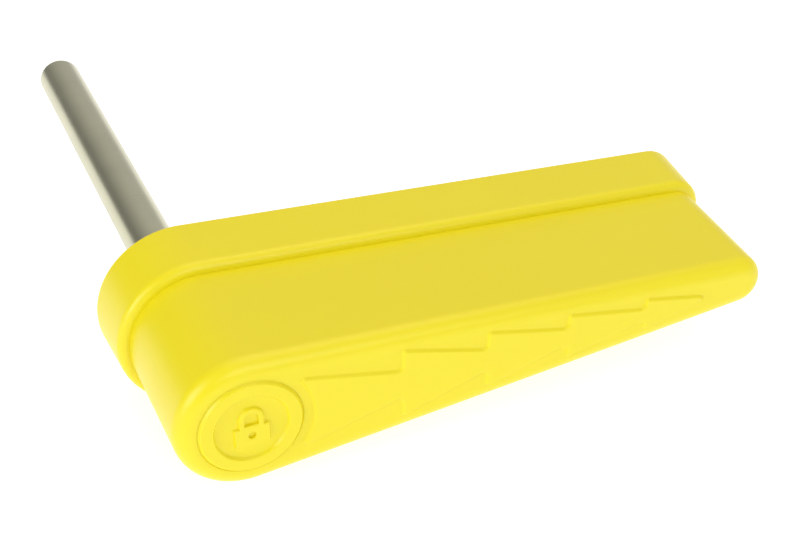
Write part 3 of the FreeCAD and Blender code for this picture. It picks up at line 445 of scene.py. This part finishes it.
class PinSettings(bpy.types.PropertyGroup):
    radius: size("Radius", "Pin radius, three-eighths of an inch bar", 4.7625 * MM)
    length: size("Length", "Rear face to pin tip", PIN_BOX[1].y)
    root_radius: size("Root radius", "Pin's thicker root", 5.2125 * MM)
    head_radius: size("Head radius", "Pin's head", PIN_BOX[1].x)
    head_base: size("Head base", "Rear face to the underside of the head", 5.5 * MM)
    head_edge: size("Head edge", "Chamfer of the head", 0.3 * MM)
    root_cone: size("Root cone", "Cone from the thicker root to the bar", 0.45 * MM)
    bore: size("Bore", "Radius of the drive rod's bore", 2.3 * MM)
    chamber_end: size("Chamber end", "Rear face to the blind end of the dog's chamber", 88.0 * MM)
    chamfer: size("Chamfer", "Chamfer at the tip", 0.8 * MM)
    chamber: size("Chamber", "Radius of the dog's chamber", 3.15 * MM)
    colour: FloatVectorProperty(name="Bar colour", description="Ground stainless, linear", subtype="COLOR",
                                size=4, default=linear("cccaae"), min=0, max=1)


class TrimSettings(bpy.types.PropertyGroup):
    clearance: size("Clearance", "Washer, pin and dog in their openings", 0.1 * MM)
    washer_width: size("Washer width", "Inside to outside of the rubber washer", 2.4 * MM)
    washer_round: size("Washer round", "Round of the washer's outer face", 0.3 * MM)
    groove_lip: size("Groove lip", "Round of the washer groove's rim", 0.1 * MM)
    sink_radius: size("Countersink", "Radius of the countersinks at the rear face", 3.2 * MM)
    sink_depth: size("Countersink depth", "Rear face to the bottom of the countersink's cone", 1.6 * MM)
    screw_hole: size("Screw hole", "Radius of the holes for the screws", 1.7 * MM)
    screw_inset: size("Screw inset", "Rear face to the screw's head", 0.1 * MM)
    screw_radius: size("Screw head", "Radius of the screw's head", 2.75 * MM)
    screw_rim: size("Head rim", "Flat ring round the screw's head", 0.15 * MM)
    screw_cone: size("Head cone", "Height of the screw head's cone", 1.4 * MM)
    shank_radius: size("Shank", "Radius of the screw's shank", 1.5 * MM)
    shank_length: size("Shank length", "Head's cone to the tip's chamfer", 11.9 * MM)
    shank_tip: size("Shank tip", "Chamfer at the screw's tip", 0.4 * MM)
    socket_radius: size("Socket", "Centre to corner of the hexagon socket", 1.15 * MM)
    socket_edge: size("Socket edge", "Chamfer of the socket's rim", 0.12 * MM)
    socket_depth: size("Socket depth", "Depth of the socket below its chamfer", 0.9 * MM)


class StageSettings(bpy.types.PropertyGroup):
    aim: FloatVectorProperty(name="Aim", description="Point the camera looks at",
                             subtype="TRANSLATION", size=3, unit="LENGTH",
                             default=(26.4 * MM, -42.1 * MM, 24.5 * MM))
    azimuth: FloatProperty(name="Azimuth", subtype="ANGLE", default=math.radians(-24.4),
                           description="Turn of the camera about Z, negative to the hub's side")
    elevation: FloatProperty(name="Elevation", description="Camera above the horizon", subtype="ANGLE",
                             default=math.radians(34.3))
    distance: size("Distance", "Camera to aim point", 215 * MM)
    bright_side: FloatVectorProperty(name="Bright side", description="Direction the studio is brightest in",
                                     subtype="DIRECTION", size=3, default=(0.75, 0.2, 0.63))
    dark_sky: FloatProperty(name="Dark side", description="Studio light from the dark side",
                            default=0.12, min=0)
    light_sky: FloatProperty(name="Light side", description="Studio light from the bright side", default=0.62,
                             min=0)
    floor_glow: FloatProperty(name="Floor glow", description="Light given off by the lit floor", default=0.75,
                              min=0)
    front_power: FloatProperty(name="Front light", description="Front softbox", default=2.4, unit="POWER")
    side_power: FloatProperty(name="Side light", description="Softbox on the hub's side",
                              default=3.3, unit="POWER")
    top_power: FloatProperty(name="Top light", description="Overhead softbox", default=2.25, unit="POWER")
    lens: FloatProperty(name="Lens", description="Focal length on a 36 mm wide frame", unit="CAMERA",
                        default=60.2, min=1)


# ---------------------------------------------------------------- pieces
def panel_edges(bm, sizes, cap, level):
    """Outline of the raised panel: even steps down to a point, cut by the channel round the cap."""
    start = cap.radius + cap.channel
    slope = (sizes.hub_radius - sizes.tip_radius) / sizes.ledge_span
    end = sizes.ledge_span - sizes.cover_rake - sizes.panel_end
    pitch = (end - start) / (sizes.teeth + 1)

    def crest(place):
        return sizes.hub_radius - sizes.panel_margin - slope * place

    turn = sizes.panel_turn
    top, base = arc_edges(bm, (start * math.cos(turn), start * math.sin(turn), level), (0, 0, level),
                          -2 * turn, 24)
    far = start + sizes.panel_start
    first = (far * math.cos(turn), far * math.sin(turn))
    upper = [first]
    for tooth in range(1, sizes.teeth + 1):
        place = start + tooth * pitch
        upper += [(place, crest(place) * sizes.panel_valley), (place, crest(place))]
    outline = [top] + [bm.verts.new((x, y, level)) for x, y in upper]
    point = bm.verts.new((end, 0, level))
    outline.append(point)
    outline += [bm.verts.new((x, -y, level)) for x, y in reversed(upper)] + [base]
    for first, second in zip(outline, outline[1:]):
        bm.edges.new((first, second))
    corners = [vert for vert in outline[2:-2] if vert is not point]
    bmesh.ops.bevel(bm, geom=corners, affect="VERTICES", offset=sizes.corner_cut, segments=5, profile=0.5,
                    material=-1)
    bmesh.ops.bevel(bm, geom=[point], affect="VERTICES", offset=sizes.point_cut, segments=5, profile=0.5,
                    material=-1)
    return wire_loop(bm, level)


def emblem_edges(bm, level, height):
    """A plain padlock sign: its outline, and the holes of its shackle and keyhole on its top."""
    wide, low, top, shank = 3.3 * MM, -3.6 * MM, 0.4 * MM, 2.35 * MM
    rise, inner = 1.9 * MM, 1.35 * MM
    body = [(-shank, top), (-wide, top), (-wide, low), (wide, low), (wide, top), (shank, top)]
    outline = arch_edges(bm, body, shank, rise, level)
    gap = arch_edges(bm, [(-inner, top), (inner, top)], inner, rise, level + height)
    return outline, gap, ring_edges(bm, (0, -1.6 * MM, level + height), 0.8 * MM, 24)


class CouplerPieceOperator:
    """What all the buttons share."""
    bl_options = {"REGISTER", "UNDO"}


class COUPLERLOCK_OT_front_cover(CouplerPieceOperator, bpy.types.Operator):
    """Build the front cover: drafted sides, rounded front edge, raised panel and the cap's seat"""
    bl_idname = "coupler_lock.front_cover"
    bl_label = "Front cover"

    def execute(self, context):
        sizes, cap = context.scene.coupler_shell, context.scene.coupler_cap
        bm = bmesh.new()
        face = lever_face(bm, sizes, sizes.hub_radius, sizes.ledge_span, sizes.rim_level)
        raise_face(bm, face, 0, sizes.flange_depth - sizes.rim_level)
        side = sizes.front_level - sizes.front_fillet - sizes.flange_depth
        raise_face(bm, face, sizes.cover_draft, side)
        shift_tip(bm, face, sizes.cover_rake)
        round_over(bm, face, sizes.front_fillet, 12)
        outer = open_face(bm, face)

        seat_radius = cap.radius + cap.show_gap
        panel = panel_edges(bm, sizes, cap, sizes.front_level)
        seat = ring_edges(bm, (0, 0, sizes.front_level), seat_radius + cap.seat_lip, ROUND)
        fill_between(bm, outer + seat + panel)
        crest = cap_loop(bm, panel)
        soft_rise(bm, crest, sizes.panel_height, sizes.panel_run)
        fill_between(bm, open_face(bm, crest))

        hollow = cap_loop(bm, seat)
        round_over(bm, hollow, cap.seat_lip, 4, down=True)
        raise_face(bm, hollow, 0, cap.seat - cap.gap - sizes.front_level + cap.seat_lip)
        raise_face(bm, hollow, seat_radius - cap.hole, 0)
        inner_level = sizes.front_level - sizes.front_wall
        raise_face(bm, hollow, 0, inner_level - cap.seat + cap.gap)
        mouth = open_face(bm, hollow)

        cavity = lever_face(bm, sizes, sizes.hub_radius - sizes.wall, sizes.ledge_span, sizes.rim_level)
        raise_face(bm, cavity, 0, sizes.flange_depth - sizes.rim_level)
        raise_face(bm, cavity, sizes.cover_draft, inner_level - sizes.flange_depth)
        shift_tip(bm, cavity, sizes.cover_rake)
        fill_between(bm, open_face(bm, cavity) + mouth, up=-1)
        fill_between(bm, free_rim(bm, sizes.rim_level), up=-1)
        finish_piece("front_shell", bm, finish("shell"), LOCK_BODY, "front_cover")
        return {"FINISHED"}


class COUPLERLOCK_OT_rear_cover(CouplerPieceOperator, bpy.types.Operator):
    """Build the rear cover: ledge, mouth, washer groove, pin hole and countersinks"""
    bl_idname = "coupler_lock.rear_cover"
    bl_label = "Rear cover"

    def execute(self, context):
        scene = context.scene
        sizes, pin, trim = scene.coupler_shell, scene.coupler_pin, scene.coupler_trim
        bm = bmesh.new()
        rear_hub = sizes.hub_radius + sizes.ledge_width + sizes.flange_draft
        span = sizes.ledge_span + sizes.flange_rake
        face = lever_face(bm, sizes, rear_hub, span, sizes.rear_fillet)
        raise_face(bm, face, sizes.flange_draft,
                    sizes.flange_depth - sizes.ledge_fillet - sizes.rear_fillet)
        shift_tip(bm, face, sizes.flange_rake)
        round_over(bm, face, sizes.ledge_fillet, 8)
        raise_face(bm, face, sizes.ledge_width - sizes.ledge_fillet, 0)
        raise_face(bm, face, 0, sizes.floor_wall - sizes.flange_depth)
        floor = open_face(bm, face)

        under = cap_loop(bm, free_rim(bm, sizes.rear_fillet), up=-1)
        round_over(bm, under, sizes.rear_fillet, 6)
        rear = open_face(bm, under)

        groove = WASHER_BOX[1].x + trim.clearance
        land = groove - trim.washer_width - 2 * trim.clearance
        hole = pin.root_radius + trim.clearance
        depth = -WASHER_BOX[0].y
        loops = [ring_edges(bm, (0, 0, 0), groove + trim.groove_lip, ROUND)]
        loops += [ring_edges(bm, (x, y, 0), trim.sink_radius, ROUND // 2) for x, y in SCREW_SPOTS]
        fill_between(bm, rear + [edge for loop in loops for edge in loop], up=-1)
        ring = cap_loop(bm, loops[0], up=-1)
        round_over(bm, ring, trim.groove_lip, 2, down=True)
        raise_face(bm, ring, 0, trim.groove_lip - depth)
        raise_face(bm, ring, groove - land, 0)
        raise_face(bm, ring, 0, depth)
        raise_face(bm, ring, land - hole, 0)
        raise_face(bm, ring, 0, -sizes.floor_wall)
        inside = open_face(bm, ring)
        for loop in loops[1:]:
            sink = cap_loop(bm, loop, up=-1)
            raise_face(bm, sink, trim.sink_radius - trim.screw_hole, -trim.sink_depth)
            raise_face(bm, sink, 0, trim.sink_depth - sizes.floor_wall)
            inside += open_face(bm, sink)
        fill_between(bm, floor + inside)
        finish_piece("rear_shell", bm, finish("shell"), LOCK_BODY, "rear_cover")
        return {"FINISHED"}


class COUPLERLOCK_OT_dust_cap(CouplerPieceOperator, bpy.types.Operator):
    """Build the push-in dust cap: flat ring, dished disc with a plain padlock sign, and spigot"""
    bl_idname = "coupler_lock.dust_cap"
    bl_label = "Dust cap"

    def execute(self, context):
        cap = context.scene.coupler_cap
        bm = bmesh.new()
        disc = cap_loop(bm, ring_edges(bm, (0, 0, cap.seat), cap.radius, ROUND))
        raise_face(bm, disc, 0, cap.top - cap.seat - cap.ring_rise)
        soft_rise(bm, disc, cap.ring_rise, cap.ring_run)
        raise_face(bm, disc, cap.radius - cap.ring_run - cap.dish_radius, 0)
        soft_rise(bm, disc, -cap.dish_depth, cap.ring_run)
        dish = open_face(bm, disc)
        level = cap.top - cap.dish_depth
        outline, gap, keyhole = emblem_edges(bm, level, cap.emblem_height)
        fill_between(bm, dish + outline)
        sign = cap_loop(bm, outline)
        soft_rise(bm, sign, cap.emblem_height, cap.emblem_run)
        fill_between(bm, open_face(bm, sign) + gap + keyhole)
        for loop in (gap, keyhole):
            pit = cap_loop(bm, loop)
            round_over(bm, pit, cap.pit_round, 3, down=True)
            raise_face(bm, pit, cap.pit_taper, cap.pit_round - cap.emblem_height)

        back = cap_loop(bm, free_rim(bm, cap.seat), up=-1)
        raise_face(bm, back, cap.radius - cap.spigot, 0)
        raise_face(bm, back, 0, cap.seat - cap.bottom - cap.spigot_round)
        round_over(bm, back, cap.spigot_round, 3)
        raise_face(bm, back, cap.spigot_wall, 0)
        raise_face(bm, back, cap.spigot_taper, cap.bottom - cap.seat)
        finish_piece("cap_medallion", bm, finish("shell"), CAP, "dust_cap")
        return {"FINISHED"}


class COUPLERLOCK_OT_lock_pin(CouplerPieceOperator, bpy.types.Operator):
    """Build the hollow pin: ground bar with head, root, chamfered tip and the dog's window"""
    bl_idname = "coupler_lock.lock_pin"
    bl_label = "Lock pin"

    def execute(self, context):
        pin, trim = context.scene.coupler_pin, context.scene.coupler_trim
        bm = bmesh.new()
        head_top, tip = -PIN_BOX[0].y, -pin.length
        lathe(bm, [
            (pin.bore, head_top), (pin.head_radius - pin.head_edge, head_top),
            (pin.head_radius, head_top - pin.head_edge), (pin.head_radius, pin.head_base),
            (pin.root_radius, pin.head_base), (pin.root_radius, pin.root_cone), (pin.radius, 0),
            # the tip's chamfer, with its outer edge worn round
            (pin.radius, tip + pin.chamfer), (pin.radius - 0.15 * pin.chamfer, tip + 0.45 * pin.chamfer),
            (pin.radius - 0.475 * pin.chamfer, tip + 0.12 * pin.chamfer), (pin.radius - pin.chamfer, tip),
            (pin.chamber, tip), (pin.chamber, -pin.chamber_end), (pin.bore, -pin.chamber_end)], steps=128)
        half = DOG_BOX[1].x + trim.clearance
        low, high = -DOG_BOX[1].y - trim.clearance, -DOG_BOX[0].y + trim.clearance
        for spot, way in (((half, 0, 0), (1, 0, 0)), ((-half, 0, 0), (-1, 0, 0)),
                          ((0, 0, low), (0, 0, -1)), ((0, 0, high), (0, 0, 1))):
            near = [f for f in bm.faces if f.calc_center_median().y < 0
                    and f.calc_center_median().z < pin.root_cone]
            geom = near + list({e for f in near for e in f.edges}) + list({v for f in near for v in f.verts})
            bmesh.ops.bisect_plane(bm, geom=geom, plane_co=spot, plane_no=way)
        window = [f for f in bm.faces if f.calc_center_median().y < 0
                  and abs(f.calc_center_median().x) < half and low < f.calc_center_median().z < high]
        bmesh.ops.delete(bm, geom=window, context="FACES")
        bmesh.ops.bridge_loops(bm, edges=[edge for edge in bm.edges if edge.is_boundary])
        finish_piece("pin_shaft", bm, finish("bar"), LOCK_BODY, "lock_pin")
        return {"FINISHED"}


class COUPLERLOCK_OT_trim(CouplerPieceOperator, bpy.types.Operator):
    """Build the trim that shows at the rear: countersunk hexagon-socket screws and the rubber washer"""
    bl_idname = "coupler_lock.trim"
    bl_label = "Screws and washer"

    def execute(self, context):
        trim = context.scene.coupler_trim
        bm = bmesh.new()
        for x, y in SCREW_SPOTS:
            place = (x, y, trim.screw_inset)
            head = cap_loop(bm, ring_edges(bm, place, trim.screw_radius, ROUND // 2), up=-1)
            raise_face(bm, head, trim.screw_rim, 0)
            rim = free_rim(bm, trim.screw_inset)
            socket = ring_edges(bm, place, trim.socket_radius, 6)
            fill_between(bm, open_face(bm, head) + socket, up=-1)
            pit = cap_loop(bm, socket, up=-1)
            raise_face(bm, pit, trim.socket_edge, -trim.socket_edge)
            raise_face(bm, pit, 0, -trim.socket_depth)
            back = cap_loop(bm, rim)
            raise_face(bm, back, trim.screw_radius - trim.shank_radius, trim.screw_cone)
            raise_face(bm, back, 0, trim.shank_length)
            raise_face(bm, back, trim.shank_tip, trim.shank_tip)
        finish_piece("rear_screws", bm, finish("black"), LOCK_BODY, "cover_screws")

        bm = bmesh.new()
        outer, thick, soft = WASHER_BOX[1].x, -WASHER_BOX[0].y, trim.washer_round
        inner = outer - trim.washer_width
        lathe(bm, [(inner, soft), (inner + soft * 0.3, soft * 0.3), (inner + soft, 0), (outer - soft, 0),
                   (outer - soft * 0.3, soft * 0.3), (outer, soft), (outer, thick), (inner, thick)])
        finish_piece("rubber_washer", bm, finish("rubber"), LOCK_BODY, "seat_washer")
        return {"FINISHED"}


class COUPLERLOCK_OT_inner_parts(CouplerPieceOperator, bpy.types.Operator):
    """Give the CAD nodes that keep their shape their finished materials"""
    bl_idname = "coupler_lock.inner_parts"
    bl_label = "Inner parts"

    def execute(self, context):
        finishes = {
            "rubber": ("cover_seal", "cap_seal"),
            "zinc_plate": ("backbone_plate",),
            "die_cast": ("cylinder_housing",),
            "brass": ("cylinder_plug", "key_pins", "driver_pins", "spring_cover", "thread_inserts"),
            "bronze": ("rod_bush",),
            "hardened": ("locking_dog", "drive_rod", "pin_dowel", "stop_pin"),
            "spring": ("driver_springs", "plug_clip"),
            "black": ("housing_screws",),
            "bar": ("pin_end_plug",),
        }
        for kind, nodes in finishes.items():
            for node in nodes:
                use_material(node, finish(kind))
        return {"FINISHED"}


class COUPLERLOCK_OT_stage(CouplerPieceOperator, bpy.types.Operator):
    """Set the pale floor, the soft studio lights and the camera"""
    bl_idname = "coupler_lock.stage"
    bl_label = "Studio"

    def execute(self, context):
        scene, stage = context.scene, context.scene.coupler_stage
        low = CAD_BOX[0][2]
        bm = bmesh.new()
        bmesh.ops.create_grid(bm, x_segments=1, y_segments=1, size=FLOOR_HALF)
        bmesh.ops.translate(bm, verts=bm.verts, vec=(0, 0, low))
        mesh = bpy.data.meshes.new("studio_floor")
        bm.to_mesh(mesh)
        bm.free()
        floor = bpy.data.objects.new("studio_floor", mesh)
        scene.collection.objects.link(floor)
        material, _, shader, _ = new_material("white_card")
        set_sockets(shader, Base_Color=linear("c8c8c8"), Roughness=0.9, Emission_Color=(1, 1, 1, 1),
                    Emission_Strength=stage.floor_glow)
        mesh.materials.append(material)

        world = bpy.data.worlds.new("studio_world")
        scene.world = world
        world.use_nodes = True
        tree = world.node_tree
        back = next(n for n in tree.nodes if n.type == "BACKGROUND")
        back.inputs["Color"].default_value = (1, 1, 1, 1)
        place = add_node(tree, "ShaderNodeTexCoord")
        side = add_node(tree, "ShaderNodeVectorMath", {"operation": "DOT_PRODUCT"})
        tree.links.new(place.outputs["Generated"], side.inputs[0])
        side.inputs[1].default_value = Vector(stage.bright_side).normalized()
        # the sky brightens smoothly from the dark side to the bright side
        glow = add_node(tree, "ShaderNodeMapRange", {"interpolation_type": "SMOOTHSTEP"},
                        {"From Min": -0.45, "From Max": 0.8, "To Min": stage.dark_sky,
                         "To Max": stage.light_sky}, {"Value": side.outputs["Value"]})
        tree.links.new(glow.outputs["Result"], back.inputs["Strength"])
        for name, spot, width, power, tint in (
                ("front_softbox", (0.15, -0.8, 0.5), 0.6, stage.front_power, "f6ffff"),
                ("side_softbox", (-0.7, -0.25, 0.3), 0.5, stage.side_power, "fbffff"),
                ("top_softbox", (0.25, 0.1, 0.8), 0.7, stage.top_power, "fff0d4")):
            light = bpy.data.lights.new(name, "AREA")
            light.shape = "DISK"
            light.size = width
            light.energy = power
            light.color = linear(tint)[:3]
            lamp = bpy.data.objects.new(name, light)
            lamp.location = spot
            way = Vector(LIGHT_AIM) - Vector(spot)
            lamp.rotation_euler = way.to_track_quat("-Z", "Y").to_euler()
            scene.collection.objects.link(lamp)

        data = bpy.data.cameras.new("camera")
        data.sensor_width = 36.0
        data.lens = stage.lens
        data.clip_start = 1 * MM
        camera = bpy.data.objects.new("camera", data)
        turn, rise = stage.azimuth, stage.elevation
        back_way = Vector((math.sin(turn) * math.cos(rise), -math.cos(turn) * math.cos(rise), math.sin(rise)))
        camera.location = Vector(stage.aim) + back_way * stage.distance
        camera.rotation_euler = (math.radians(90) - rise, 0, turn)
        scene.collection.objects.link(camera)
        scene.camera = camera
        scene.view_settings.view_transform = "Standard"
        return {"FINISHED"}


MADE = {}


def finish(kind):
    """The finished material of one kind, made the first time it is asked for."""
    scene = bpy.context.scene
    makers = {
        "shell": lambda: moulded_polymer(tuple(scene.coupler_shell.colour)),
        "bar": lambda: ground_bar(tuple(scene.coupler_pin.colour)),
        "rubber": rubber,
        "zinc_plate": lambda: turned_metal("zinc_plated_steel", "b9bbb8", "a3a6a1", 0.34, 0.4 * MM),
        "die_cast": lambda: turned_metal("die_cast_zinc", "9c9da0", "86878a", 0.45, 0.25 * MM),
        "brass": lambda: turned_metal("turned_brass", "c9a456", "b08a3e", 0.28, 0.15 * MM),
        "bronze": lambda: turned_metal("sintered_bronze", "9a6f40", "7d5833", 0.5, 0.12 * MM),
        "hardened": lambda: turned_metal("hardened_steel", "77767a", "5f5e61", 0.32, 0.2 * MM),
        "spring": lambda: turned_metal("spring_steel", "8b8b8c", "6f6f70", 0.3, 0.1 * MM),
        "black": lambda: turned_metal("black_oxide_steel", "2a2a2c", "1c1c1e", 0.42, 0.15 * MM, 0.7),
    }
    if kind not in MADE:
        MADE[kind] = makers[kind]()
    return MADE[kind]


PIECES = (COUPLERLOCK_OT_front_cover, COUPLERLOCK_OT_rear_cover, COUPLERLOCK_OT_dust_cap,
          COUPLERLOCK_OT_lock_pin, COUPLERLOCK_OT_trim, COUPLERLOCK_OT_inner_parts, COUPLERLOCK_OT_stage)
SETTINGS = (("coupler_shell", ShellSettings), ("coupler_cap", CapSettings), ("coupler_pin", PinSettings),
            ("coupler_trim", TrimSettings), ("coupler_stage", StageSettings))


class COUPLERLOCK_PT_panel(bpy.types.Panel):
    """Buttons that build the lock's pieces one by one"""
    bl_label = "Coupler lock"
    bl_idname = "COUPLERLOCK_PT_panel"
    bl_space_type = "VIEW_3D"
    bl_region_type = "UI"
    bl_category = "Coupler lock"

    def draw(self, context):
        for piece in PIECES:
            self.layout.operator(piece.bl_idname)


def register():
    for name, group in SETTINGS:
        bpy.utils.register_class(group)
        setattr(bpy.types.Scene, name, PointerProperty(type=group))
    for piece in PIECES:
        bpy.utils.register_class(piece)
    bpy.utils.register_class(COUPLERLOCK_PT_panel)


def unregister():
    bpy.utils.unregister_class(COUPLERLOCK_PT_panel)
    for piece in reversed(PIECES):
        bpy.utils.unregister_class(piece)
    for name, group in reversed(SETTINGS):
        delattr(bpy.types.Scene, name)
        bpy.utils.unregister_class(group)


def main():
    register()
    for piece in PIECES:
        module, name = piece.bl_idname.split(".")
        getattr(getattr(bpy.ops, module), name)()


if __name__ == "__main__":
    main()
